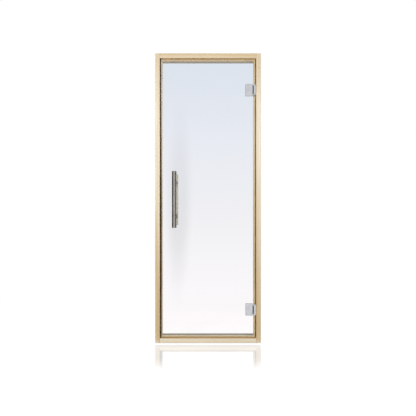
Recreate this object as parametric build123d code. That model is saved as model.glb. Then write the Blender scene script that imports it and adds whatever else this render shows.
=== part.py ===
from build123d import *
import os

# A framed glass sauna door: a timber frame with a stop all round, a pane hung on two
# clamp hinges, and a steel pull outside with a timber grip inside.
# Sizes are in millimetres. X runs to the right seen from outside, Y runs inwards through
# the opening and Z runs up. The origin is the middle of the threshold's underside.

# Timber frame
frame_width = 690.0
frame_height = 1890.0
frame_depth = 92.0
face_width = 31.0  # face of each member, from the outer side to the rebate
stop_width = 13.0  # how far the stop reaches past the face, behind the pane
rebate_depth = 22.0  # from the front face back to the stop
arris_radius = 2.0

# Glass pane
glass_thickness = 8.0
glass_to_stop = 5.0
glass_edge_gap = 5.5
glass_corner_radius = 4.0
glass_seam = 0.6  # chamfer ground along every edge

# Seal pressed into a groove in the stop
seal_from_rebate = 6.0  # middle of the seal, from the rebate wall
seal_flange_width = 10.0
seal_flange_thickness = 1.2
seal_bulb_width = 6.5
seal_bulb_wall = 1.1
seal_to_glass = 0.5
groove_width = 3.0
groove_depth = 5.0
groove_clearance = 0.2

# Fixing holes through the jambs, bored from the opening side
fixing_hole_radius = 3.25
fixing_counterbore_radius = 7.0
fixing_counterbore_depth = 14.0
fixing_end_distance = 150.0

# Screws that hold the frame's corners
corner_screw_radius = 2.5
corner_screw_head_radius = 5.0
corner_screw_length = 90.0
corner_screw_drive_radius = 2.5
corner_screw_recess = 0.5
corner_screw_spacing = 40.0

# Hinges
lower_hinge_height = 217.0
upper_hinge_drop = 238.0  # from the frame's top to the middle of the upper hinge
plate_width = 47.0
plate_height = 78.0
plate_thickness = 6.0
plate_corner_radius = 3.0
plate_bevel = 0.8
counterplate_thickness = 5.0
pad_thickness = 1.0
pad_inset = 0.5
knuckle_radius = 7.0
knuckle_to_wall = 0.5
knuckle_to_glass = 1.5
knuckle_to_plate = 8.1
knuckle_bevel = 0.5
column_height = 70.0
lug_height = 8.0
pin_radius = 3.0
pin_end_recess = 0.5
pin_running_clearance = 0.05
bush_wall = 1.15
bush_barrel_length = 10.0
bush_flange_radius = 6.0
bush_flange_thickness = 0.9
bush_end_gap = 0.1
web_thickness = 4.0  # between the fixed knuckle and the leaf
leaf_thickness = 3.0
leaf_front_margin = 3.0  # timber left between the front face and the leaf
leaf_back_margin = 2.0  # timber left between the leaf and the stop
leaf_corner_radius = 3.0
leaf_screw_radius = 2.0
leaf_screw_head_radius = 4.0
leaf_screw_length = 26.0
leaf_screw_drive_radius = 2.0
leaf_screw_spacing = 24.0
clamp_screw_radius = 3.0
clamp_screw_head_radius = 5.6
clamp_screw_drive_radius = 2.8
clamp_screw_spacing = 40.0
clamp_thread_depth = 4.5
clamp_hole_tip = 0.75
glass_hole_radius = 7.0
collar_wall = 3.0
screw_clearance = 0.1
drive_depth = 1.8  # of the six-sided recess in every screw head

# Outside pull: a steel tube on two posts
handle_from_edge = 91.5  # from the pane's closing edge
handle_height = 936.0
handle_length = 365.0
tube_radius = 15.0
tube_wall = 1.5
tube_to_glass = 45.0
cap_thickness = 2.0
cap_plug_length = 8.0
cap_bevel = 0.8
post_spacing = 215.0
post_radius = 9.0
post_foot_radius = 17.5
post_foot_thickness = 3.0
post_foot_bevel = 0.8
gasket_thickness = 1.0
stud_radius = 4.0
stud_depth = 14.0  # how far a stud reaches into its outer post

# Inside grip: a turned timber bar on two posts
grip_length = 335.0
grip_radius = 20.0
grip_to_glass = 35.0
grip_end_radius = 4.0
grip_stud_depth = 20.0

# Places worked out from the sizes above
front_y = -frame_depth / 2
rear_y = frame_depth / 2
stop_y = front_y + rebate_depth
member_width = face_width + stop_width
glass_inner_y = stop_y - glass_to_stop
glass_outer_y = glass_inner_y - glass_thickness
wall_x = frame_width / 2 - face_width
glass_edge_x = wall_x - glass_edge_gap
pin_x = wall_x - knuckle_to_wall - knuckle_radius
pin_y = glass_outer_y - knuckle_to_glass - knuckle_radius
plate_right_x = pin_x - knuckle_radius - knuckle_to_plate
plate_x = plate_right_x - plate_width / 2
plate_back_y = glass_outer_y - pad_thickness
plate_front_y = plate_back_y - plate_thickness
counterplate_front_y = glass_inner_y + pad_thickness
counterplate_back_y = counterplate_front_y + counterplate_thickness
leaf_front_y = front_y + leaf_front_margin
leaf_back_y = stop_y - leaf_back_margin
hinge_heights = {
    "upper": frame_height - upper_hinge_drop,
    "lower": lower_hinge_height,
}
handle_x = -glass_edge_x + handle_from_edge
tube_y = glass_outer_y - tube_to_glass - tube_radius
grip_y = glass_inner_y + grip_to_glass + grip_radius
post_heights = {
    "upper": handle_height + post_spacing / 2,
    "lower": handle_height - post_spacing / 2,
}
fixing_heights = (
    fixing_end_distance,
    frame_height / 2,
    frame_height - fixing_end_distance,
)
thick_part_y = (stop_y + rear_y) / 2

# Each side of the frame as a plane: its X runs from the outer side towards the opening,
# its Y runs inwards and its Z runs along the member.
half_width = frame_width / 2
side_planes = {
    "lock_side": Plane((-half_width, 0, 0), (1, 0, 0), (0, 0, 1)),
    "hinge_side": Plane((half_width, 0, frame_height), (-1, 0, 0), (0, 0, -1)),
    "head": Plane((-half_width, 0, frame_height), (0, 0, -1), (1, 0, 0)),
    "threshold": Plane((half_width, 0, 0), (0, 0, 1), (-1, 0, 0)),
}
side_lengths = {
    "lock_side": frame_height,
    "hinge_side": frame_height,
    "head": frame_width,
    "threshold": frame_width,
}


def member(side, radius):
    """A full-length frame member with its long edges rounded, or sharp where radius is 0."""
    outline = Polyline(
        (0, front_y),
        (face_width, front_y),
        (face_width, stop_y),
        (member_width, stop_y),
        (member_width, rear_y),
        (0, rear_y),
        close=True,
    )
    section = make_face(outline)
    if radius > 0:
        corners = [v for v in section.vertices() if (v.X, v.Y) != (face_width, stop_y)]
        section = fillet(corners, radius)
    blank = extrude(section, amount=side_lengths[side], dir=(0, 0, 1))
    return side_planes[side].location * blank


def rod(radius, start, end):
    """A round bar between two points."""
    path = Vector(end) - Vector(start)
    return Solid.make_cylinder(radius, path.length, Plane(start, z_dir=path))


def countersunk(head_radius, shank_radius, length, tip, clearance=0.0):
    """A countersunk screw pointing down Z, with its flat top at the origin."""
    head = head_radius + clearance
    shank = shank_radius + clearance
    bottom = -length - clearance
    outline = Polyline(
        (0, 0),
        (head, 0),
        (shank, shank - head),
        (shank, bottom + tip),
        (shank - tip * shank / (shank + tip), bottom),
        (0, bottom),
        close=True,
    )
    return revolve(Plane.XZ * make_face(outline), Axis.Z)


def screw(head_radius, shank_radius, length, drive_radius):
    """A countersunk screw with a six-sided drive recess."""
    body = countersunk(head_radius, shank_radius, length, shank_radius)
    drive = RegularPolygon(drive_radius, 6)
    return body - extrude(drive, amount=drive_depth, dir=(0, 0, -1))


def corner_screw_places():
    """The four corner screws of the lock side, each pointing along X into a rail."""
    places = []
    for height in (member_width / 2, frame_height - member_width / 2):
        for offset in (-corner_screw_spacing / 2, corner_screw_spacing / 2):
            start = (-half_width + corner_screw_recess, thick_part_y + offset, height)
            places.append(Plane(start, x_dir=(0, 1, 0), z_dir=(-1, 0, 0)))
    return places


def corner_holes():
    """Holes for the corner screws in both jambs and both rails, open to the outer sides."""
    holes = []
    for place in corner_screw_places():
        body = countersunk(
            corner_screw_head_radius,
            corner_screw_radius,
            corner_screw_length,
            corner_screw_radius,
            screw_clearance,
        )
        mouth = Cylinder(
            corner_screw_head_radius + screw_clearance,
            corner_screw_recess,
            align=(Align.CENTER, Align.CENTER, Align.MIN),
        )
        hole = place.location * (body + mouth)
        holes.append(hole)
        holes.append(mirror(hole, Plane.YZ))
    return holes


def corner_screws(side):
    """The corner screws of one jamb."""
    one = screw(
        corner_screw_head_radius,
        corner_screw_radius,
        corner_screw_length,
        corner_screw_drive_radius,
    )
    screws = [place.location * one for place in corner_screw_places()]
    if side == "hinge_side":
        screws = [mirror(s, Plane.YZ) for s in screws]
    return Compound(children=screws)


def groove_ring():
    """The groove for the seal's stem, running round the stop as one ring."""
    middle = face_width + seal_from_rebate

    def block(inset):
        return Box(
            frame_width - 2 * inset, groove_depth, frame_height - 2 * inset
        )

    band = block(middle - groove_width / 2) - block(middle + groove_width / 2)
    return Pos(0, stop_y + groove_depth / 2, frame_height / 2) * band


def fixing_holes():
    """Counterbored fixing holes through the thick part of both jambs."""
    holes = []
    for height in fixing_heights:
        bottom = wall_x - stop_width + fixing_counterbore_depth
        centre = (thick_part_y, height)
        shank = rod(fixing_hole_radius, (0, *centre), (frame_width, *centre))
        mouth = rod(fixing_counterbore_radius, (0, *centre), (bottom, *centre))
        holes += [shank + mouth, mirror(shank + mouth, Plane.YZ)]
    return holes


def leaf_screw_place(height):
    """Where a hinge leaf's screw enters, pointing along X into the hinge jamb."""
    middle_y = (pin_y + leaf_back_y) / 2 + knuckle_radius / 2
    return Plane((wall_x, middle_y, height), x_dir=(0, 1, 0), z_dir=(-1, 0, 0))


def leaf_screw_heights(hinge_height):
    return [hinge_height + step * leaf_screw_spacing for step in (-1, 0, 1)]


def leaf_screw_holes(hinge_height):
    hole = countersunk(
        leaf_screw_head_radius,
        leaf_screw_radius,
        leaf_screw_length,
        leaf_screw_radius,
        screw_clearance,
    )
    heights = leaf_screw_heights(hinge_height)
    return [leaf_screw_place(height).location * hole for height in heights]


def leaf_screws(hinge_height):
    one = screw(
        leaf_screw_head_radius,
        leaf_screw_radius,
        leaf_screw_length,
        leaf_screw_drive_radius,
    )
    heights = leaf_screw_heights(hinge_height)
    return Compound(children=[leaf_screw_place(h).location * one for h in heights])


def leaf_block(hinge_height):
    """The flat leaf with rounded corners, let in flush with the rebate wall."""
    depth = leaf_back_y - leaf_front_y
    outline = Plane.YZ * RectangleRounded(depth, column_height, leaf_corner_radius)
    leaf = extrude(outline, amount=leaf_thickness, dir=(1, 0, 0))
    return Pos(wall_x, leaf_front_y + depth / 2, hinge_height) * leaf


def jamb(side):
    body = member(side, arris_radius)
    body -= groove_ring()
    for hole in fixing_holes() + corner_holes():
        body -= hole
    if side == "hinge_side":
        for height in hinge_heights.values():
            body -= leaf_block(height)
            for hole in leaf_screw_holes(height):
                body -= hole
    return body


def rail(side):
    """The head or the threshold, butted between the jambs and coped over their stops."""
    body = member(side, arris_radius)
    body -= member("lock_side", 0)
    body -= member("hinge_side", 0)
    body -= groove_ring()
    for hole in corner_holes():
        body -= hole
    return body


def seal_section():
    """The seal's section on the stop: a stem in the groove, a flange and a hollow bulb."""
    middle = face_width + seal_from_rebate
    crown_radius = seal_bulb_width / 2
    crown_y = stop_y - (glass_to_stop - seal_to_glass) + crown_radius
    stem_width = groove_width - 2 * groove_clearance
    stem_depth = groove_depth - groove_clearance

    def in_front_of(y):
        reach = 2 * seal_flange_width
        return Pos(middle, y - reach / 2) * Rectangle(reach, reach)

    flange = Pos(middle, stop_y - seal_flange_thickness / 2) * Rectangle(
        seal_flange_width, seal_flange_thickness
    )
    foot = Pos(middle, stop_y - seal_bulb_wall / 2) * Rectangle(
        seal_bulb_width, seal_bulb_wall
    )
    crown = Pos(middle, crown_y) * Circle(crown_radius)
    hollow = Pos(middle, crown_y) * Circle(crown_radius - seal_bulb_wall)
    bulb = make_hull(foot.edges() + crown.edges()) & in_front_of(stop_y)
    bulb -= hollow & in_front_of(stop_y - seal_bulb_wall)
    stem = Pos(middle, stop_y + stem_depth / 2) * Rectangle(stem_width, stem_depth)
    return bulb + (flange - hollow) + stem


def seal(side):
    """One length of bulb seal, mitred at both ends."""
    length = side_lengths[side]
    reach = 2 * member_width
    strip = extrude(seal_section(), amount=length, dir=(0, 0, 1))
    mitre = Polyline(
        (0, 0),
        (reach, reach),
        (reach, length - reach),
        (0, length),
        close=True,
    )
    wedge = extrude(
        make_face(Plane.XZ * mitre), amount=frame_depth, dir=(0, 1, 0), both=True
    )
    return side_planes[side].location * (strip & wedge)


def glass_pane():
    """The toughened pane, ground on its edges and bored for the hinges and the pull."""
    bottom = face_width + glass_edge_gap
    height = frame_height - 2 * bottom
    outline = Plane.XZ * RectangleRounded(2 * glass_edge_x, height, glass_corner_radius)
    pane = extrude(outline, amount=glass_thickness, dir=(0, 1, 0))
    pane = Pos(0, glass_outer_y, frame_height / 2) * pane
    faces = pane.faces().sort_by(Axis.Y)
    rims = faces[0].edges() + faces[-1].edges()
    pane = chamfer(rims, glass_seam)
    for x, z in clamp_places() + handle_places():
        pane -= rod(glass_hole_radius, (x, front_y, z), (x, rear_y, z))
    return pane


def clamp_places():
    """Centres of the clamp screws of both hinges, in X and Z."""
    half = clamp_screw_spacing / 2
    return [(plate_x, h + s * half) for h in hinge_heights.values() for s in (-1, 1)]


def handle_places():
    return [(handle_x, height) for height in post_heights.values()]


def clamp_screw_plane(height):
    """Inner end of a clamp screw, which points outwards along -Y."""
    return Plane((plate_x, counterplate_back_y, height), x_dir=(1, 0, 0), z_dir=(0, 1, 0))


def clamp_screw_heights(hinge_height):
    half = clamp_screw_spacing / 2
    return (hinge_height - half, hinge_height + half)


def clamp_screw_length():
    return counterplate_back_y - plate_back_y + clamp_thread_depth


def clamp_screw_hole(height):
    hole = countersunk(
        clamp_screw_head_radius,
        clamp_screw_radius,
        clamp_screw_length(),
        clamp_hole_tip,
        screw_clearance,
    )
    return clamp_screw_plane(height).location * hole


def clamp_screws(hinge_height):
    one = screw(
        clamp_screw_head_radius,
        clamp_screw_radius,
        clamp_screw_length(),
        clamp_screw_drive_radius,
    )
    heights = clamp_screw_heights(hinge_height)
    return Compound(children=[clamp_screw_plane(h).location * one for h in heights])


def clamp_slab(hinge_height, front, back, inset, bevelled_side=None):
    """A slab of the hinge clamp, with the bevel on its outward or its inward face."""
    outline = RectangleRounded(
        plate_width - 2 * inset, plate_height - 2 * inset, plate_corner_radius
    )
    slab = extrude(Plane.XZ * outline, amount=back - front, dir=(0, 1, 0))
    slab = Pos(plate_x, front, hinge_height) * slab
    if bevelled_side is not None:
        face = slab.faces().sort_by(Axis.Y)[bevelled_side]
        slab = chamfer(face.edges(), plate_bevel)
    return slab


def knuckle_length(section, bottom, height):
    """A length of knuckle with its section's edges bevelled at both ends."""
    length = extrude(section, amount=height, dir=(0, 0, 1))
    ends = length.faces().filter_by(Axis.Z)
    return Pos(0, 0, bottom) * chamfer(ends.edges(), knuckle_bevel)


def hinge_plate(hinge_height):
    """The outside clamp plate with its two lugs, which turn with the pane."""
    plate = clamp_slab(hinge_height, plate_front_y, plate_back_y, 0, 0)
    root = Pos(plate_right_x - plate_thickness, (plate_front_y + plate_back_y) / 2)
    arm_root = root * Rectangle(plate_thickness, plate_thickness - 2 * plate_bevel)
    barrel = Pos(pin_x, pin_y) * Circle(knuckle_radius)
    arm = make_hull(arm_root.edges() + barrel.edges())
    half = column_height / 2
    for bottom in (-half, half - lug_height):
        plate += knuckle_length(arm, hinge_height + bottom, lug_height)
    low = (pin_x, pin_y, hinge_height - half)
    high = (pin_x, pin_y, hinge_height + half)
    plate -= rod(pin_radius, low, high)
    for height in clamp_screw_heights(hinge_height):
        plate -= clamp_screw_hole(height)
    return plate


def hinge_counterplate(hinge_height):
    """The inside clamp plate."""
    plate = clamp_slab(hinge_height, counterplate_front_y, counterplate_back_y, 0, -1)
    for height in clamp_screw_heights(hinge_height):
        plate -= clamp_screw_hole(height)
    return plate


def outer_pad(hinge_height):
    """The thin pad between the outside plate and the glass, which runs on behind the lugs."""
    pad = clamp_slab(hinge_height, plate_back_y, glass_outer_y, pad_inset)
    tongue_middle = (plate_x + pin_x) / 2
    tongue = Box(pin_x - plate_x, pad_thickness, column_height - 2 * pad_inset)
    pad += Pos(tongue_middle, plate_back_y + pad_thickness / 2, hinge_height) * tongue
    for height in clamp_screw_heights(hinge_height):
        pad -= clamp_screw_hole(height)
    return pad


def inner_pad(hinge_height):
    """The inside pad, with collars that line the holes in the glass."""
    pad = clamp_slab(hinge_height, glass_inner_y, counterplate_front_y, pad_inset)
    outer = clamp_screw_radius + screw_clearance + collar_wall
    for height in clamp_screw_heights(hinge_height):
        start = (plate_x, glass_outer_y, height)
        end = (plate_x, counterplate_front_y, height)
        pad += rod(outer, start, end)
        pad -= clamp_screw_hole(height)
    return pad


def knuckle_half_height():
    """Half the height of the fixed knuckle between the two bush flanges."""
    opening = column_height - 2 * lug_height
    return opening / 2 - bush_flange_thickness - bush_end_gap


def hinge_bracket(hinge_height):
    """The fixed half: a leaf let into the jamb, and a web to the knuckle between the lugs."""
    barrel = Pos(pin_x, pin_y) * Circle(knuckle_radius)
    web_y = leaf_front_y + web_thickness / 2
    web = Pos(wall_x - knuckle_to_wall / 2, web_y) * Rectangle(knuckle_to_wall, web_thickness)
    root = Pos(wall_x + leaf_thickness / 2, web_y) * Rectangle(leaf_thickness, web_thickness)
    section = make_hull(barrel.edges() + web.edges()) + root
    half = knuckle_half_height()
    knuckle = knuckle_length(section, hinge_height - half, 2 * half)
    bracket = leaf_block(hinge_height) + knuckle
    low = (pin_x, pin_y, hinge_height - half)
    high = (pin_x, pin_y, hinge_height + half)
    bracket -= rod(bush_outer_radius(), low, high)
    for hole in leaf_screw_holes(hinge_height):
        bracket -= hole
    return bracket


def bush_outer_radius():
    return pin_radius + pin_running_clearance + bush_wall


def hinge_bushes(hinge_height):
    """Two flanged bushes, pressed into the ends of the fixed knuckle."""
    inner = pin_radius + pin_running_clearance
    profile = make_face(
        Polyline(
            (inner, -bush_barrel_length),
            (bush_outer_radius(), -bush_barrel_length),
            (bush_outer_radius(), 0),
            (bush_flange_radius, 0),
            (bush_flange_radius, bush_flange_thickness),
            (inner, bush_flange_thickness),
            close=True,
        )
    )
    bush = revolve(Plane.XZ * profile, Axis.Z)
    upper = Pos(pin_x, pin_y, hinge_height + knuckle_half_height()) * bush
    lower = Pos(pin_x, pin_y, hinge_height - knuckle_half_height()) * (
        Rot(180, 0, 0) * bush
    )
    return Compound(children=[upper, lower])


def hinge_pin(hinge_height):
    half = column_height / 2 - pin_end_recess
    low = (pin_x, pin_y, hinge_height - half)
    high = (pin_x, pin_y, hinge_height + half)
    pin = rod(pin_radius, low, high)
    ends = pin.edges().filter_by(GeomType.CIRCLE)
    return chamfer(ends, pin_end_recess)


def handle_tube():
    half = handle_length / 2 - cap_thickness
    low = (handle_x, tube_y, handle_height - half)
    high = (handle_x, tube_y, handle_height + half)
    return rod(tube_radius, low, high) - rod(tube_radius - tube_wall, low, high)


def handle_cap(end):
    """An end cap with a plug that sits in the tube's bore."""
    plug_radius = tube_radius - tube_wall - screw_clearance
    profile = make_face(
        Polyline(
            (0, -cap_plug_length),
            (plug_radius, -cap_plug_length),
            (plug_radius, 0),
            (tube_radius, 0),
            (tube_radius, cap_thickness - cap_bevel),
            (tube_radius - cap_bevel, cap_thickness),
            (0, cap_thickness),
            close=True,
        )
    )
    cap = revolve(Plane.XZ * profile, Axis.Z)
    reach = handle_length / 2 - cap_thickness
    if end == "upper":
        return Pos(handle_x, tube_y, handle_height + reach) * cap
    return Pos(handle_x, tube_y, handle_height - reach) * (Rot(180, 0, 0) * cap)


def handle_post(height):
    """An outside post: a foot against the gasket and a saddle that fits the tube."""
    base_y = glass_outer_y - gasket_thickness
    post = rod(post_radius, (handle_x, base_y, height), (handle_x, tube_y, height))
    foot_end = (handle_x, base_y - post_foot_thickness, height)
    foot = rod(post_foot_radius, (handle_x, base_y, height), foot_end)
    foot = chamfer(foot.edges().sort_by(Axis.Y)[0], post_foot_bevel)
    saddle = rod(
        tube_radius,
        (handle_x, tube_y, handle_height - handle_length / 2),
        (handle_x, tube_y, handle_height + handle_length / 2),
    )
    return post + foot - saddle - handle_stud(height)


def grip_post(height):
    """An inside post: a foot against the gasket and a saddle that fits the grip."""
    base_y = glass_inner_y + gasket_thickness
    post = rod(post_radius, (handle_x, base_y, height), (handle_x, grip_y, height))
    foot_end = (handle_x, base_y + post_foot_thickness, height)
    foot = rod(post_foot_radius, (handle_x, base_y, height), foot_end)
    foot = chamfer(foot.edges().sort_by(Axis.Y)[-1], post_foot_bevel)
    saddle = rod(
        grip_radius,
        (handle_x, grip_y, handle_height - grip_length / 2),
        (handle_x, grip_y, handle_height + grip_length / 2),
    )
    return post + foot - saddle - handle_stud(height)


def handle_stud(height):
    """A stud from the outer post through the glass and the inner post into the grip."""
    start = glass_outer_y - gasket_thickness - stud_depth
    end = grip_y - grip_radius + grip_stud_depth
    return rod(stud_radius, (handle_x, start, height), (handle_x, end, height))


def ring(outer, inner, start_y, end_y, height):
    start = (handle_x, start_y, height)
    end = (handle_x, end_y, height)
    return rod(outer, start, end) - rod(inner, start, end)


def gaskets(start_y):
    """One gasket under each post's foot, against the glass."""
    rings = []
    for height in post_heights.values():
        rings.append(
            ring(
                post_foot_radius - pad_inset,
                stud_radius + screw_clearance,
                start_y,
                start_y + gasket_thickness,
                height,
            )
        )
    return Compound(children=rings)


def sleeves():
    """Sleeves round the studs, inside the holes in the glass."""
    rings = []
    for height in post_heights.values():
        rings.append(
            ring(
                glass_hole_radius - screw_clearance,
                stud_radius + screw_clearance,
                glass_outer_y,
                glass_inner_y,
                height,
            )
        )
    return Compound(children=rings)


def inner_grip():
    """The turned timber grip, rounded at both ends and bored for the studs."""
    low = (handle_x, grip_y, handle_height - grip_length / 2)
    high = (handle_x, grip_y, handle_height + grip_length / 2)
    grip = rod(grip_radius, low, high)
    grip = fillet(grip.edges().filter_by(GeomType.CIRCLE), grip_end_radius)
    for height in post_heights.values():
        grip -= handle_stud(height)
    return grip


nodes = {
    "jamb_lock_side": jamb("lock_side"),
    "jamb_hinge_side": jamb("hinge_side"),
    "head_rail": rail("head"),
    "threshold_rail": rail("threshold"),
    "glass_pane": glass_pane(),
    "handle_tube": handle_tube(),
    "handle_gaskets_outer": gaskets(glass_outer_y - gasket_thickness),
    "handle_gaskets_inner": gaskets(glass_inner_y),
    "handle_sleeves": sleeves(),
    "handle_studs": Compound(children=[handle_stud(h) for h in post_heights.values()]),
    "inner_grip": inner_grip(),
}
for side in side_planes:
    nodes["seal_" + side] = seal(side)
for side in ("lock_side", "hinge_side"):
    nodes["corner_screws_" + side] = corner_screws(side)
for name, height in post_heights.items():
    nodes["handle_cap_" + name] = handle_cap(name)
    nodes["handle_post_" + name] = handle_post(height)
    nodes["grip_post_" + name] = grip_post(height)
for name, height in hinge_heights.items():
    nodes[name + "_hinge_plate"] = hinge_plate(height)
    nodes[name + "_hinge_counterplate"] = hinge_counterplate(height)
    nodes[name + "_hinge_outer_pad"] = outer_pad(height)
    nodes[name + "_hinge_inner_pad"] = inner_pad(height)
    nodes[name + "_clamp_screws"] = clamp_screws(height)
    nodes[name + "_hinge_pin"] = hinge_pin(height)
    nodes[name + "_hinge_bracket"] = hinge_bracket(height)
    nodes[name + "_bracket_screws"] = leaf_screws(height)
    nodes[name + "_hinge_bushes"] = hinge_bushes(height)

os.makedirs("parts", exist_ok=True)
for name, shape in nodes.items():
    export_step(shape, f"parts/{name}.step")
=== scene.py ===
import math
import bpy
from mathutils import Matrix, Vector


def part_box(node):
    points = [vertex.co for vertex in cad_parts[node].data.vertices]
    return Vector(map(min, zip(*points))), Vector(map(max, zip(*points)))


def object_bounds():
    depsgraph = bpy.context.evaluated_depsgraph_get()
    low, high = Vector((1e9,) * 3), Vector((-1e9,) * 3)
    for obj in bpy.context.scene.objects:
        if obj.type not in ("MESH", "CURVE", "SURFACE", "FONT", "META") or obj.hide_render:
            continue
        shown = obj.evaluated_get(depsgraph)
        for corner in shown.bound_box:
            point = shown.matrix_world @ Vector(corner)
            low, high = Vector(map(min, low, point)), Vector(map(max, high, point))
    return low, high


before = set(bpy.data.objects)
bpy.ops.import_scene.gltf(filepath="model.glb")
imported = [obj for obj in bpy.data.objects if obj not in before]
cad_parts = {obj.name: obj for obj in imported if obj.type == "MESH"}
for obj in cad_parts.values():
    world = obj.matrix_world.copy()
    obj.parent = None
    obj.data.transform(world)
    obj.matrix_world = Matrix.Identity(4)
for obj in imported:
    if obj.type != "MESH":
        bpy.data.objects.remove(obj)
solid_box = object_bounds()

# The frame is four planed lengths of pale aspen, two jambs that run the full height and two
# rails butted between them. Each has its own board's growth rings, soft wax over bare wood,
# and the hinge jamb has three small pin knots near its top. The wood turns warmer and darker
# near the foot and at the top of the jambs, partly yellowing and partly painted shade. The
# reveals behind the glass carry painted shade, and the lock jamb's reveal painted light; the
# rebate walls carry painted shade, and the head's rebate wall painted light.


class Wire:
    """The value of one socket. Arithmetic on it adds the Math nodes that work it out."""

    def __init__(self, nodes, socket):
        self.nodes = nodes
        self.socket = socket

    def worked(self, operation, first, second=0.0):
        return self.nodes.add("Math", {0: first, 1: second}, operation=operation)

    def __add__(self, other):
        return self.worked("ADD", self, other)

    def __radd__(self, other):
        return self.worked("ADD", other, self)

    def __sub__(self, other):
        return self.worked("SUBTRACT", self, other)

    def __rsub__(self, other):
        return self.worked("SUBTRACT", other, self)

    def __mul__(self, other):
        return self.worked("MULTIPLY", self, other)

    def __rmul__(self, other):
        return self.worked("MULTIPLY", other, self)

    def __truediv__(self, other):
        return self.worked("DIVIDE", self, other)

    def __rtruediv__(self, other):
        return self.worked("DIVIDE", other, self)

    def __abs__(self):
        return self.worked("ABSOLUTE", self)

    def root(self):
        return self.worked("SQRT", self)

    def fraction(self):
        return self.worked("FRACT", self)

    def most(self, other):
        return self.worked("MAXIMUM", self, other)

    def least(self, other):
        return self.worked("MINIMUM", self, other)

    def rise(self, low, high):
        """0 below low, 1 above high and a smooth step between them."""
        sockets = {"Value": self, "From Min": low, "From Max": high}
        return self.nodes.add("MapRange", sockets, interpolation_type="SMOOTHSTEP")

    def fall(self, low, high):
        return 1.0 - self.rise(low, high)


class Nodes:
    """A node tree. Every node comes in through add, settings first and sockets after."""

    def __init__(self, tree):
        self.tree = tree

    def add(self, kind, sockets=(), output=0, **settings):
        node = self.tree.nodes.new("ShaderNode" + kind)
        stops = settings.pop("stops", ())
        for name, value in settings.items():
            setattr(node, name, value)
        if stops:
            elements = node.color_ramp.elements
            for place, colour in stops[1:-1]:
                elements.new(place)
            for element, (place, colour) in zip(elements, stops):
                element.position = place
                element.color = colour
        for name, value in dict(sockets).items():
            self.feed(value, node.inputs[name])
        return Wire(self, node.outputs[output])

    def feed(self, value, socket):
        if isinstance(value, Wire):
            self.tree.links.new(value.socket, socket)
        else:
            socket.default_value = value

    def mixed(self, share, first, second):
        """A colour between two, at share of the way from the first."""
        sockets = {0: share, 6: first, 7: second}
        return self.add("Mix", sockets, output=2, data_type="RGBA")


class Finish(Nodes):
    """One material: its shader, and the piece's own coordinates in metres."""

    def __init__(self, name):
        self.material = bpy.data.materials.new(name)
        self.material.use_nodes = True
        super().__init__(self.material.node_tree)
        self.shader = self.tree.nodes["Principled BSDF"]
        self.output = self.tree.nodes["Material Output"]
        self.place = self.add("TexCoord", output="Object")

    def put(self, sockets):
        """Sets the shader's own sockets, or links them to what varies over the surface."""
        for name, value in sockets.items():
            self.feed(value, self.shader.inputs[name])

    def axes(self):
        return [self.add("SeparateXYZ", {0: self.place}, output=n) for n in range(3)]

    def noise(self, place, stretch, detail=2.0, shift=0.0):
        """Noise from 0 to 1 about 0.5, with stretch cells a metre along each axis."""
        offset = (shift, shift * 1.7, shift * 0.6)
        moved = self.add(
            "VectorMath", {0: place, 1: stretch, 2: offset}, operation="MULTIPLY_ADD"
        )
        return self.add("TexNoise", {"Vector": moved, "Scale": 1.0, "Detail": detail})

    def relief(self, height, depth):
        """A bump of so many metres on the shader's normal."""
        sockets = {"Height": height, "Distance": depth, "Strength": 1.0}
        self.put({"Normal": self.add("Bump", sockets)})

    def dress(self, *nodes):
        """Gives CAD nodes this finish in place of their plain one."""
        for node in nodes:
            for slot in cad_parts[node].material_slots:
                slot.material = self.material


aspen_pale = (0.955, 0.885, 0.730, 1.0)
aspen_warm = (0.64, 0.475, 0.26, 1.0)
aspen_late = (0.62, 0.445, 0.25, 1.0)
knot_brown = (0.42, 0.24, 0.11, 1.0)
end_grain_tan = (0.58, 0.42, 0.25, 1.0)
head_reveal_painted_shade = (0.29, 0.27, 0.19, 1.0)
hinge_reveal_painted_shade = (0.54, 0.565, 0.445, 1.0)
lock_reveal_painted_light = (0.97, 0.96, 0.95, 1.0)
sill_reveal_painted_shade = (0.19, 0.145, 0.045, 1.0)
rebate_painted_shade = (0.20, 0.115, 0.035, 1.0)
sill_rebate_painted_shade = (0.60, 0.32, 0.04, 1.0)
head_rebate_painted_light = (0.98, 0.82, 0.58, 1.0)
ring_width = 0.0026
ring_sway, ring_waver = 0.012, 1.6
late_from, late_full = 0.45, 0.93
knot_length, knot_spread = 1.3, 0.9
sway_cells = (3.0, 3.0, 1.3)
waver_cells = (60.0, 60.0, 1.0)
board_cells = (38.0, 38.0, 1.4)
fibre_cells = (950.0, 950.0, 14.0)
pore_cells = (1500.0, 1500.0, 90.0)
warm_share, fibre_share, pore_share = 0.3, 0.16, 0.22
knot_share, end_share = 0.45, 0.55
painted_reveal_blend, painted_reveal_grain = 0.018, 0.72
wood_roughness, wood_gloss, wood_relief = 0.56, 0.4, 0.00022
rebate_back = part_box("seal_head")[1].y - 0.005


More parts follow.
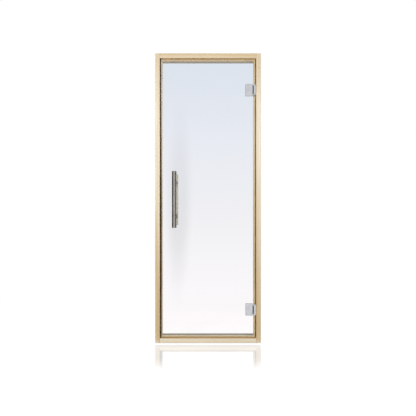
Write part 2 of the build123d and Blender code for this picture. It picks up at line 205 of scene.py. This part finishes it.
def timber(
    name,
    grain_axis,
    heart,
    shift,
    painted_reveal=None,
    yellowing_and_shade=0.0,
    knots=(),
    late=0.34,
    pale=aspen_pale,
    warm=aspen_warm,
    painted_rebate=None,
):
    """Aspen with its rings about a heart beside the piece, and its fibres along grain_axis.
    painted_reveal: the axis and sign of the reveal, where from, how much, and its colour,
    which is painted shade, and on the lock jamb painted light. yellowing_and_shade: how much
    warmer and darker it is, evenly, or as a ramp over its height that is partly yellowing and
    partly painted shade. painted_rebate: the axis and sign of the rebate wall, how much, and
    its colour there, which is painted shade, and on the head painted light."""
    wood = Finish(name)
    x, y, z = wood.axes()
    across, along = (x, z) if grain_axis == "Z" else (z, x)
    grain = wood.add("CombineXYZ", {0: across, 1: y, 2: along})
    sway = wood.noise(grain, sway_cells, 1.0, shift) - 0.5
    side = across - heart[0]
    depth = y - heart[1]
    radius = (side * side + depth * depth).root() + sway * ring_sway

    core = None
    for knot_across, knot_along, knot_radius in knots:
        a = (across - knot_across) / knot_radius
        b = (along - knot_along) / (knot_radius * knot_length)
        reach = (a * a + b * b).root()
        radius = radius + knot_radius * knot_spread / (1.0 + reach * reach)
        spot = reach.fall(0.55, 1.15)
        core = spot if core is None else core.most(spot)

    rings = radius / ring_width + wood.noise(grain, waver_cells, 1.0, shift) * ring_waver
    turn = rings.fraction()
    late_wood = turn.rise(late_from, late_full) * turn.fall(0.95, 1.0)
    board = wood.noise(grain, board_cells, 2.0, shift + 3.0)
    fibre = wood.noise(grain, fibre_cells, 3.0, shift)
    dark_fibre = fibre.rise(0.35, 0.75)
    pores = wood.noise(grain, pore_cells, 1.0, shift + 7.0).rise(0.62, 0.72)

    warmth = board.rise(0.3, 0.72) * warm_share
    # A ramp over the height is partly yellowing and partly painted shade; a single number is
    # the piece's own tone.
    if isinstance(yellowing_and_shade, tuple):
        stops = [(share, (turned, turned, turned, 1.0)) for share, turned in yellowing_and_shade]
        yellowing_and_shade = wood.add("ValToRGB", {0: z / solid_box[1].z}, stops=stops)
    colour = wood.mixed((warmth + yellowing_and_shade).least(1.0), pale, warm)
    colour = wood.mixed(late_wood * late, colour, aspen_late)
    colour = wood.mixed(dark_fibre * fibre_share, colour, aspen_late)
    colour = wood.mixed(pores * pore_share, colour, aspen_late)
    if core is not None:
        colour = wood.mixed(core * knot_share, colour, knot_brown)
    facing = wood.add("TexCoord", output="Normal")
    end = abs(wood.add("SeparateXYZ", {0: facing}, output=grain_axis)).rise(0.8, 0.95)
    colour = wood.mixed(end * end_share, colour, end_grain_tan)
    # Painted shade on the reveal behind the glass, and painted light on the lock jamb's reveal.
    if painted_reveal is not None:
        axis, sign, start, share, painted_tone = painted_reveal
        inward = (wood.add("SeparateXYZ", {0: facing}, output=axis) * sign).rise(0.5, 0.9)
        dark_grain = (*[value * painted_reveal_grain for value in painted_tone[:3]], 1.0)
        grained = wood.mixed(late_wood * 0.35 + dark_fibre * 0.25, painted_tone, dark_grain)
        reached = y.rise(start, start + painted_reveal_blend)
        colour = wood.mixed(reached * inward * share, colour, grained)
    # Painted shade on the rebate wall, and painted light on the head's rebate wall.
    if painted_rebate is not None:
        axis, sign, share, rebate_paint = painted_rebate
        inward = (wood.add("SeparateXYZ", {0: facing}, output=axis) * sign).rise(0.25, 0.75)
        rebate = y.fall(rebate_back - 0.003, rebate_back + 0.001)
        colour = wood.mixed(inward * rebate * share, colour, rebate_paint)

    rough = wood_roughness + (fibre - 0.5) * 0.16 - late_wood * 0.07 + end * 0.18
    wood.put({"Base Color": colour, "Roughness": rough, "Specular IOR Level": wood_gloss})
    wood.relief(fibre * 0.55 + late_wood * 0.3 - pores * 0.5, wood_relief)
    return wood


lock_jamb_heart = (-0.285, 0.125)
hinge_jamb_heart = (0.372, 0.110)
head_heart = (1.800, 0.135)
threshold_heart = (0.085, 0.120)
pin_knots = ((0.3325, 1.797, 0.0038), (0.3310, 1.742, 0.0030), (0.3225, 0.640, 0.0026))
# Warmer and darker near the foot and at the top of the jambs: partly yellowing, partly painted
# shade.
height_yellowing_and_shade = (
    (0.0, 0.30),
    (0.012, 0.80),
    (0.05, 0.95),
    (0.16, 0.76),
    (0.26, 0.68),
    (0.40, 0.45),
    (0.50, 0.25),
    (0.60, 0.11),
    (0.74, 0.03),
    (0.83, 0.10),
    (0.97, 0.44),
)

lock_jamb_wood = timber(
    "lock_jamb_wood",
    "Z",
    lock_jamb_heart,
    1.0,
    ("X", 1, 0.010, 0.45, lock_reveal_painted_light),
    height_yellowing_and_shade,
    painted_rebate=("X", 1, 0.9, rebate_painted_shade),
)
lock_jamb_wood.dress("jamb_lock_side")
hinge_jamb_wood = timber(
    "hinge_jamb_wood",
    "Z",
    hinge_jamb_heart,
    4.3,
    ("X", -1, 0.010, 0.85, hinge_reveal_painted_shade),
    height_yellowing_and_shade,
    pin_knots,
    painted_rebate=("X", -1, 0.8, rebate_painted_shade),
)
hinge_jamb_wood.dress("jamb_hinge_side")
head_wood = timber(
    "head_wood",
    "X",
    head_heart,
    7.9,
    ("Z", -1, 0.006, 0.85, head_reveal_painted_shade),
    0.585,
    painted_rebate=("Z", -1, 0.9, head_rebate_painted_light),
)
head_wood.dress("head_rail")
threshold_wood = timber(
    "threshold_wood",
    "X",
    threshold_heart,
    11.2,
    ("Z", 1, -0.014, 0.90, sill_reveal_painted_shade),
    0.24,
    painted_rebate=("Z", 1, 0.6, sill_rebate_painted_shade),
)
threshold_wood.dress("threshold_rail")

# The seal is a brown silicone bulb with a flange, pushed into a groove in the stop and
# mitred at the corners. Its skin is matt, with the fine lines that the die leaves along it.
# Its colours carry painted light and shade: the uprights are a shaded brown and the head and
# threshold lit copies of it, and the half towards the opening is painted lighter, most at the
# top of the lock side.
upright_seal_painted_shade = (0.19, 0.080, 0.003, 1.0)
head_seal_painted_light = (0.44, 0.215, 0.03, 1.0)
threshold_seal_painted_light = (0.46, 0.225, 0.03, 1.0)
seal_painted_light = (0.58, 0.46, 0.25, 1.0)
lock_side_painted_light = (
    (0.28, (0.25, 0.13, 0.003, 1.0)),
    (0.50, (0.37, 0.26, 0.03, 1.0)),
    (0.70, (0.60, 0.47, 0.22, 1.0)),
    (0.86, (0.95, 0.92, 0.76, 1.0)),
)
door_middle = (solid_box[0] + solid_box[1]) / 2
die_lines, die_drift = 1300.0, 9.0
dust_cells = (70.0, 70.0, 70.0)
painted_light_from, painted_light_ends = 0.12, 0.52
painted_light_share, dust_share, line_share = 0.86, 0.11, 0.06
seal_roughness, seal_gloss, die_depth = 0.48, 0.08, 0.00006


def silicone(name, length_axis, node, brown, shift, painted_light_ramp=None):
    """Silicone that runs along length_axis, with painted light over the half nearest the
    opening, in one colour or in a ramp of them over the door's height."""
    skin = Finish(name)
    upright = length_axis == "Z"
    if upright:
        line_cells = (die_lines, die_lines, die_drift)
    else:
        line_cells = (die_drift, die_lines, die_lines)
    lines = skin.noise(skin.place, line_cells, 2.0, shift)
    dust = skin.noise(skin.place, dust_cells, 3.0, shift).rise(0.42, 0.75)
    side = 0 if upright else 2
    reaches = [abs(corner[side] - door_middle[side]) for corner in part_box(node)]
    inner, outer = min(reaches), max(reaches)
    places = skin.axes()
    from_middle = abs(places[side] - door_middle[side])
    width = outer - inner
    # Painted light over the half nearest the opening.
    painted_light_mask = from_middle.fall(inner + width * painted_light_from, inner + width * painted_light_ends)
    painted_tone = seal_painted_light
    if painted_light_ramp is not None:
        painted_tone = skin.add("ValToRGB", {0: places[2] / solid_box[1].z}, stops=painted_light_ramp)
    share = (painted_light_mask * painted_light_share + dust * dust_share + lines * line_share).least(1.0)
    skin.put({
        "Base Color": skin.mixed(share, brown, painted_tone),
        "Roughness": seal_roughness + dust * 0.22 + (lines - 0.5) * 0.1,
        "Specular IOR Level": seal_gloss,
    })
    skin.relief(lines, die_depth)
    return skin


lock_skin = silicone(
    "seal_skin_lock_side", "Z", "seal_lock_side", upright_seal_painted_shade, 2.0, lock_side_painted_light
)
lock_skin.dress("seal_lock_side")
hinge_skin = silicone("seal_skin_hinge_side", "Z", "seal_hinge_side", upright_seal_painted_shade, 3.0)
hinge_skin.dress("seal_hinge_side")
silicone("seal_skin_head", "X", "seal_head", head_seal_painted_light, 5.0).dress("seal_head")
threshold_skin = silicone("seal_skin_threshold", "X", "seal_threshold", threshold_seal_painted_light, 8.0)
threshold_skin.dress("seal_threshold")

# The hinges are satin nickel over cast zinc. The fixed half has a leaf let into the jamb and
# a knuckle, blasted before plating and coloured paler as painted light; the other half clamps
# the glass between two plates that are linished down their height.
nickel = (0.63, 0.635, 0.66, 1.0)
nickel_dull = (0.50, 0.505, 0.53, 1.0)
bracket_pieces = ["upper_hinge_bracket", "lower_hinge_bracket"]
clamp_pieces = [
    end + part
    for end in ("upper_hinge_", "lower_hinge_")
    for part in ("plate", "counterplate", "pin")
]
patch_cells = (55.0, 55.0, 32.0)
scratch_cells = (420.0, 420.0, 60.0)
patch_share, scratch_depth = 0.45, 0.8


def brushed_metal(name, clean, dull, roughness, line_stretch, line_depth, shift, metallic=1.0):
    """Metal with fine brushed lines, handled patches and a few short scratches."""
    metal = Finish(name)
    lines = metal.noise(metal.place, line_stretch, 3.0, shift)
    patches = metal.noise(metal.place, patch_cells, 3.0, shift + 2.0)
    scratches = metal.noise(metal.place, scratch_cells, 1.0, shift + 5.0)
    scratches = scratches.rise(0.735, 0.76)
    dulled = patches.rise(0.35, 0.75) * patch_share + (lines - 0.5) * 0.5
    metal.put({
        "Base Color": metal.mixed(dulled, clean, dull),
        "Metallic": metallic,
        "Roughness": roughness + (lines - 0.5) * 0.14 + patches.rise(0.4, 0.8) * 0.08,
    })
    metal.relief(lines - scratches * scratch_depth, line_depth)
    return metal


upright_lines = (1900.0, 1900.0, 30.0)
blast_grains = (1500.0, 1500.0, 1500.0)
brush_depth = 0.00003
hinge_finish = brushed_metal(
    "satin_nickel", nickel, nickel_dull, 0.33, upright_lines, brush_depth, 1.0
)
hinge_finish.dress(*clamp_pieces)
# Paler than the plates: painted light on the knuckle.
knuckle_nickel_painted_light = (0.80, 0.81, 0.835, 1.0)
knuckle_nickel_dull_painted_light = (0.68, 0.685, 0.71, 1.0)
bracket_finish = brushed_metal(
    "knuckle_nickel_painted_light",
    knuckle_nickel_painted_light,
    knuckle_nickel_dull_painted_light,
    0.44,
    blast_grains,
    brush_depth,
    4.0,
    metallic=0.65,
)
bracket_finish.dress(*bracket_pieces)

# All screws are turned stainless steel with a hexagon drive, and have the rings that the
# lathe leaves. The studs of the pull are plain threaded rod, seen only through the glass.
screw_steel = (0.56, 0.55, 0.54, 1.0)
screw_steel_dull = (0.36, 0.35, 0.34, 1.0)
lathe_rings, lathe_depth = (260.0, 260.0, 900.0), 0.00002
screw_finish = brushed_metal(
    "turned_steel", screw_steel, screw_steel_dull, 0.30, lathe_rings, lathe_depth, 3.0
)
screw_finish.dress(
    "corner_screws_lock_side",
    "corner_screws_hinge_side",
    "upper_bracket_screws",
    "lower_bracket_screws",
    "upper_clamp_screws",
    "lower_clamp_screws",
    "handle_studs",
)

# The bushes are white acetal, turned, pressed into the knuckles. Pads, gaskets and sleeves
# are dark fibre and rubber, cut from sheet, that keep steel off the glass.
acetal_white = (0.78, 0.77, 0.73, 1.0)
acetal_grey = (0.62, 0.61, 0.58, 1.0)
bush_cells = (120.0, 120.0, 2600.0)
bush_roughness, bush_ring_depth = 0.42, 0.00003
bush_finish = Finish("turned_acetal")
bush_rings = bush_finish.noise(bush_finish.place, bush_cells, 2.0)
bush_finish.put({
    "Base Color": bush_finish.mixed(bush_rings.rise(0.4, 0.8) * 0.5, acetal_white, acetal_grey),
    "Roughness": bush_roughness + (bush_rings - 0.5) * 0.12,
})
bush_finish.relief(bush_rings, bush_ring_depth)
bush_finish.dress("upper_hinge_bushes", "lower_hinge_bushes")

# Where the outer pads reach into the slot between each plate and its knuckle, their dark colour
# stands in for the shade there: painted shade.
pad_black = (0.150, 0.155, 0.160, 1.0)
pad_fleck = (0.26, 0.26, 0.26, 1.0)
pad_cells = (1400.0, 1400.0, 1400.0)
pad_roughness, pad_depth = 0.78, 0.00005
pad_finish = Finish("pressed_fibre")
pad_grain = pad_finish.noise(pad_finish.place, pad_cells, 3.0)
pad_finish.put({
    "Base Color": pad_finish.mixed(pad_grain.rise(0.45, 0.8), pad_black, pad_fleck),
    "Roughness": pad_roughness + (pad_grain - 0.5) * 0.2,
})
pad_finish.relief(pad_grain, pad_depth)
pad_finish.dress(
    "upper_hinge_outer_pad",
    "upper_hinge_inner_pad",
    "lower_hinge_outer_pad",
    "lower_hinge_inner_pad",
    "handle_gaskets_outer",
    "handle_gaskets_inner",
    "handle_sleeves",
)

# The leaf is one pane of 8 mm toughened clear glass. Its faces are polished, its edges and
# holes are ground, and there the glass looks pale green and frosted. A soft grey painted
# shadow of the pull lies on the pane, a little to the right of the tube and densest just
# below it, mottled a little.
glass_clear = (0.993, 0.996, 0.995, 1.0)
glass_painted_shadow = (0.857, 0.860, 0.860, 1.0)
glass_ground = (0.38, 0.54, 0.46, 1.0)
glass_index = 1.5
pane_low, pane_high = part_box("glass_pane")
tube_low, tube_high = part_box("handle_tube")
shadow_offset = 0.026
shadow_middle = (tube_low + tube_high) / 2 + Vector((shadow_offset, 0, 0))
shadow_half_width, shadow_half_height = 0.105, 0.76
shadow_lean = 0.11
shadow_core = 0.25
shadow_densest = -0.33
shadow_thinning = 0.51
shadow_mottle_cells = (60.0, 60.0, 22.0)
wheel_cells = (900.0, 900.0, 900.0)
ground_roughness = 0.32

glass = Finish("toughened_glass")
facing = glass.add("TexCoord", output="Normal")
flat = abs(glass.add("SeparateXYZ", {0: facing}, output="Y"))
ground = flat.fall(0.80, 0.97)
wheel_marks = glass.noise(glass.place, wheel_cells, 2.0)
glass_x, _, glass_z = glass.axes()
# Painted shadow of the pull, in the pane's own coordinates.
above = (glass_z - shadow_middle.z) / shadow_half_height
beside = (glass_x - shadow_middle.x) / shadow_half_width - above * shadow_lean
painted_shadow = (above * above + beside * beside).root().fall(shadow_core, 1.0)
painted_shadow = painted_shadow * (1.0 - (above - shadow_densest).most(0.0) * shadow_thinning)
shadow_mottle = glass.noise(glass.place, shadow_mottle_cells, 3.0, 5.0)
painted_shadow = painted_shadow * (0.9 + shadow_mottle * 0.2)
polished = glass.mixed(painted_shadow, glass_clear, glass_painted_shadow)
glass.put({
    "Base Color": glass.mixed(ground, polished, glass_ground),
    "Roughness": ground * (ground_roughness + wheel_marks * 0.2),
    "Transmission Weight": 1.0,
    "IOR": glass_index,
})
light_path = glass.tree.nodes.new("ShaderNodeLightPath")
open_pane = glass.add("BsdfTransparent", {"Color": glass_clear})
shown = Wire(glass, glass.shader.outputs[0])
for ray in ("Is Shadow Ray", "Is Diffuse Ray"):
    share = Wire(glass, light_path.outputs[ray])
    shown = glass.add("MixShader", {0: share, 1: shown, 2: open_pane})
glass.feed(shown, glass.output.inputs["Surface"])
glass.dress("glass_pane")

# The pull outside is a stainless tube on two posts that fit round it, with pressed end
# caps. It is brushed along its length to a darker, warmer satin than the hinges.
pull_steel = (0.40, 0.385, 0.36, 1.0)
pull_steel_dull = (0.27, 0.255, 0.235, 1.0)
tube_lines = (2300.0, 2300.0, 16.0)
pull_finish = brushed_metal(
    "brushed_steel_pull", pull_steel, pull_steel_dull, 0.25, tube_lines, brush_depth, 6.0
)
pull_finish.dress("handle_tube", "handle_cap_upper", "handle_cap_lower")
# The posts take the pull's steel in a darker copy: painted shade.
post_steel_painted_shade = (0.25, 0.235, 0.21, 1.0)
post_steel_dull_painted_shade = (0.16, 0.15, 0.135, 1.0)
post_lines = (1600.0, 240.0, 1600.0)
post_finish = brushed_metal(
    "brushed_steel_posts", post_steel_painted_shade, post_steel_dull_painted_shade, 0.34, post_lines, brush_depth, 9.0
)
post_finish.dress(
    "handle_post_upper", "handle_post_lower", "grip_post_upper", "grip_post_lower"
)

# The grip inside is one turned bar of the same aspen, sanded and left bare so that it stays
# cool to the hand. It is coloured paler than the frame, which is painted light.
grip_low, grip_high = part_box("inner_grip")
grip_middle = (grip_low + grip_high) / 2
grip_heart = (grip_middle.x + 0.021, grip_middle.y + 0.030)
grip_pale_painted_light = (0.93, 0.875, 0.715, 1.0)
grip_warm_painted_light = (0.84, 0.755, 0.575, 1.0)
grip_wood = timber(
    "grip_wood", "Z", grip_heart, 15.4, late=0.22, pale=grip_pale_painted_light, warm=grip_warm_painted_light
)
grip_wood.dress("inner_grip")

# The floor is a pale disc just under the door, glossy close to it so that the foot of the
# frame is mirrored there. It shines by itself to whoever looks at it, and so stays white.
floor_drop = 0.009
floor_radius = 2.6
floor_middle = (0, (pane_low.y + pane_high.y) / 2, -floor_drop)
floor_level, pane_lift = 0.95, 0.026
floor_matt = (0.20, 0.20, 0.20, 1.0)
gloss_from, gloss_full = 0.055, 0.085
gloss_fades, gloss_ends = 0.36, 0.70
gloss_share = 0.40
gloss_half_width, gloss_side_fade = 0.40, 0.10
pure_white = (1.0, 1.0, 1.0, 1.0)
near_white = (0.905, 0.865, 0.878, 1.0)
far_white = (0.905, 0.885, 0.902, 1.0)

bpy.ops.object.select_all(action="DESELECT")
bpy.ops.mesh.primitive_circle_add(
    vertices=96, radius=floor_radius, fill_type="NGON", location=floor_middle
)
floor = bpy.context.object
floor.name = "studio_floor"
bpy.ops.object.transform_apply(location=True, rotation=False, scale=False)

ground_finish = Finish("studio_floor")
path = ground_finish.tree.nodes.new("ShaderNodeLightPath")
seen = Wire(ground_finish, path.outputs["Is Camera Ray"])
for ray in ("Is Glossy Ray", "Is Transmission Ray"):
    seen = seen.most(Wire(ground_finish, path.outputs[ray]))
through_pane = Wire(ground_finish, path.outputs["Is Transmission Ray"])
ground_finish.tree.nodes.remove(ground_finish.shader)
floor_x, floor_y, _ = ground_finish.axes()
from_door = abs(floor_y)
beside_door = abs(floor_x).fall(gloss_half_width, gloss_half_width + gloss_side_fade)
tint = ground_finish.mixed(floor_y.rise(0.2, floor_radius), near_white, far_white)
tint = ground_finish.mixed(through_pane, pure_white, tint)
matt = ground_finish.add("BsdfDiffuse", {"Color": floor_matt})
glow_level = seen * floor_level + through_pane * from_door.rise(0.2, 1.0) * pane_lift
glow = ground_finish.add("Emission", {"Color": tint, "Strength": glow_level})
plain = ground_finish.add("AddShader", {0: matt, 1: glow})
mirror = ground_finish.add("BsdfGlossy", {"Color": pure_white, "Roughness": 0.0})
gloss = from_door.rise(gloss_from, gloss_full) * from_door.fall(gloss_fades, gloss_ends)
share = gloss * beside_door * gloss_share
both = ground_finish.add("MixShader", {0: share, 1: plain, 2: mirror})
ground_finish.feed(both, ground_finish.output.inputs["Surface"])
floor.data.materials.append(ground_finish.material)

# The room round the door is plain white to look at. Metal mirrors two dark cards in it and
# glass a dim band at its own height, and what shows through the pane runs from a warm white
# at the floor to pale blue.
ambient = 0.28
low_sky = (0.995, 0.960, 0.968, 1.0)
middle_sky = (0.844, 0.849, 0.887, 1.0)
upper_sky = (0.730, 0.760, 0.837, 1.0)
high_sky = (0.674, 0.728, 0.802, 1.0)
sky_low, sky_span = -0.25, 0.55
sky_level = 1.04
left_card_way, right_card_way = (-0.940, 0.342), (0.966, 0.259)
right_card_share = 0.85
band_rising = -0.05
dim_in_glass = 0.14

studio = bpy.data.worlds.new("studio")
studio.use_nodes = True
bpy.context.scene.world = studio
sky = Nodes(studio.node_tree)
path = sky.tree.nodes.new("ShaderNodeLightPath")
rays = {name: Wire(sky, path.outputs[name]) for name in path.outputs.keys()}
direction = sky.add("TexCoord", output="Generated")
rising = sky.add("SeparateXYZ", {0: direction}, output="Z")
sideways = sky.add("SeparateXYZ", {0: direction}, output="X")
inwards = sky.add("SeparateXYZ", {0: direction}, output="Y")
behind_pane = sky.add(
    "ValToRGB",
    {0: (rising - sky_low) / sky_span},
    stops=((0.07, low_sky), (0.51, middle_sky), (0.745, upper_sky), (0.90, high_sky)),
)
straight = 1.0 - (rays["Diffuse Depth"] + rays["Glossy Depth"]).least(1.0)
through_glass = rays["Is Transmission Ray"] * straight
left_card = (sideways * left_card_way[0] + inwards * left_card_way[1]).rise(0.40, 0.60)
right_card = (sideways * right_card_way[0] + inwards * right_card_way[1]).rise(0.36, 0.62)
in_metal = 1.0 - left_card.most(right_card * right_card_share)
from_band = abs(rising - band_rising).rise(0.05, 0.21)
in_glass = dim_in_glass + inwards.rise(-0.2, 0.3).most(from_band) * (1.0 - dim_in_glass)
mirrored = rays["Is Singular Ray"] * in_glass + (1.0 - rays["Is Singular Ray"]) * in_metal
level = rays["Is Diffuse Ray"] * ambient
level = level + rays["Is Camera Ray"].most(rays["Is Transmission Ray"] * (1.0 - through_glass))
level = level + rays["Is Glossy Ray"] * mirrored
white = sky.add("Background", {"Color": pure_white, "Strength": level.least(1.0)})
seen_through = sky.add("Background", {"Color": behind_pane, "Strength": sky_level})
world_output = sky.tree.nodes["World Output"]
sky.feed(
    sky.add("MixShader", {0: through_glass, 1: white, 2: seen_through}),
    world_output.inputs["Surface"],
)

# Two soft lamps behind grids light the door, the key at the front left and a fill behind it
# at the right.
key_place, key_aim = (-3.0, -5.6, 1.35), (0.7, 0, 1.35)
key_watts, key_size = 73.0, 1.2
fill_place, fill_aim = (2.0, 1.5, 1.1), (-0.2, 0, 1.0)
fill_watts, fill_size = 13.0, 0.8
grid_spread = math.radians(80)


def soft_lamp(name, place, aim, watts, size):
    """A square lamp behind a grid, at place. It points at aim and isn't seen or mirrored."""
    data = bpy.data.lights.new(name, "AREA")
    data.energy = watts
    data.size = size
    data.spread = grid_spread
    holder = bpy.data.objects.new(name, data)
    bpy.context.scene.collection.objects.link(holder)
    holder.location = place
    holder.rotation_euler = (Vector(aim) - Vector(place)).to_track_quat("-Z", "Y").to_euler()
    holder.visible_camera = False
    holder.visible_glossy = False
    holder.visible_transmission = False


soft_lamp("gridded_key", key_place, key_aim, key_watts, key_size)
soft_lamp("rear_fill", fill_place, fill_aim, fill_watts, fill_size)

# The camera stands 3.7 m in front of the frame at waist height. It is level, so that the
# uprights stay upright, and shifted by a hair to place the door in the picture.
camera_distance = 3.7
camera_height = 0.88
view_width = 2.713
view_middle_height = 0.8810
sensor_width = 36.0

camera_data = bpy.data.cameras.new("camera")
camera_data.sensor_width = sensor_width
camera_data.lens = sensor_width * camera_distance / view_width
camera_data.shift_y = (view_middle_height - camera_height) / view_width
camera_data.dof.use_dof = False
camera = bpy.data.objects.new("camera", camera_data)
camera.location = (0.0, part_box("head_rail")[0].y - camera_distance, camera_height)
camera.rotation_euler = (math.radians(90), 0, 0)
bpy.context.scene.collection.objects.link(camera)
bpy.context.scene.camera = camera
bpy.context.scene.view_settings.view_transform = "Standard"
